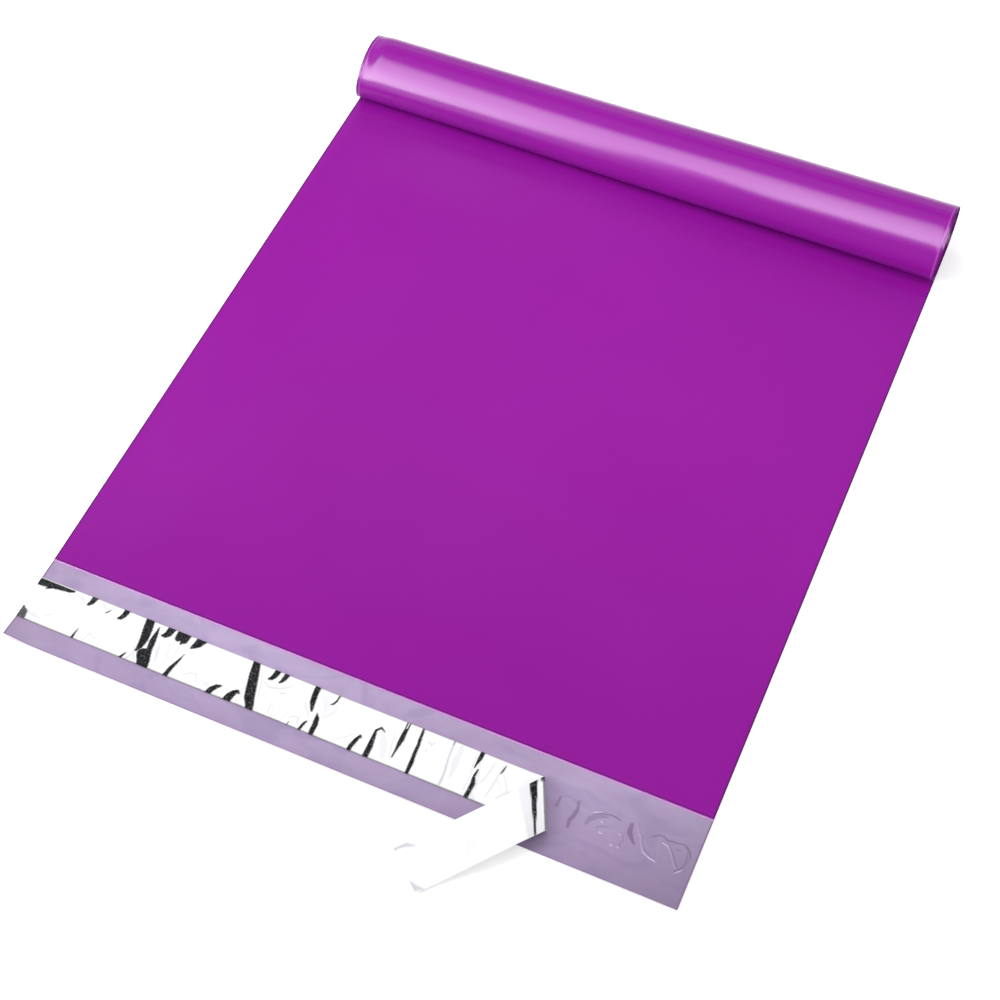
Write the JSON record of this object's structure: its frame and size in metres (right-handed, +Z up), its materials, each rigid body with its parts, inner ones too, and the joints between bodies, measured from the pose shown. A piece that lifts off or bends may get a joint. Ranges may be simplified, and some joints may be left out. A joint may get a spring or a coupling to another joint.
{
  "type": "poly mailer bag",
  "caption": "Flat film mailing bag with an open mouth, an adhesive flap with its release liner peeled back at one end, and its bottom end curled up and over.",
  "frame": {"origin": "on the underside of the bag, below the middle of the mouth", "axes": "+X across the bag, +Y from the mouth along the bag to its curled bottom end, +Z up from the table"},
  "size_m": [0.3682, 0.4925, 0.0316],
  "materials": {
    "film": "glossy purple polyethylene film, lilac grey on the inside",
    "adhesive": "clear hot-melt adhesive over the lilac inside of the flap, with ripples and bubbles",
    "liner": "white release film, smooth, with dark crinkle streaks"
  },
  "bodies": {
    "root": {"bag_film": "film", "adhesive_strip": "adhesive", "release_liner": "liner"}
  },
  "joints": []
}
